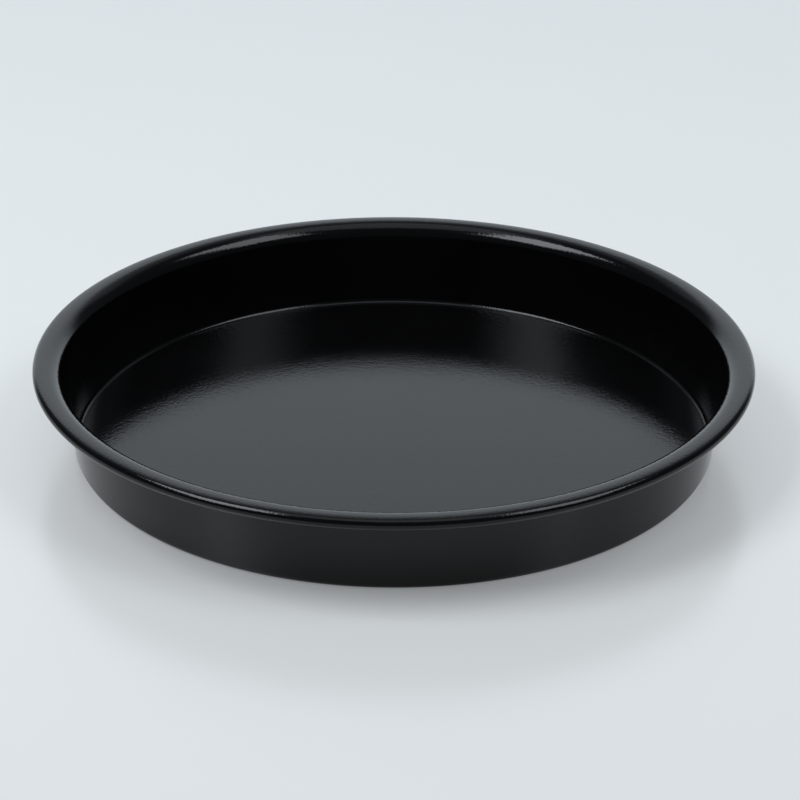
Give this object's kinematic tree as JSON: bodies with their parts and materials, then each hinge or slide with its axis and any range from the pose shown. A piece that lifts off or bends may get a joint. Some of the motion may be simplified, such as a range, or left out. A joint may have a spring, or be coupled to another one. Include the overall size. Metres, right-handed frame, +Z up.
{
  "type": "pizza pan",
  "caption": "Deep round pizza pan of thin black-coated sheet steel: flat floor, slightly flared wall, rounded lip and a narrow rim rolled round a wire hoop.",
  "frame": {"origin": "middle of the flat underside, in the plane that the pan stands on", "axes": "+Z up along the pan's axis, from the underside to the rim; X and Y are any two level directions, because the pan is round"},
  "size_m": [0.3, 0.3, 0.038],
  "materials": {
    "coated_sheet": "black non-stick coating, satin gloss with a very fine orange-peel texture",
    "wire": "plain drawn steel wire, hidden inside the rolled edge"
  },
  "bodies": {
    "root": {"pan": "coated_sheet", "rim_wire": "wire"}
  },
  "joints": []
}
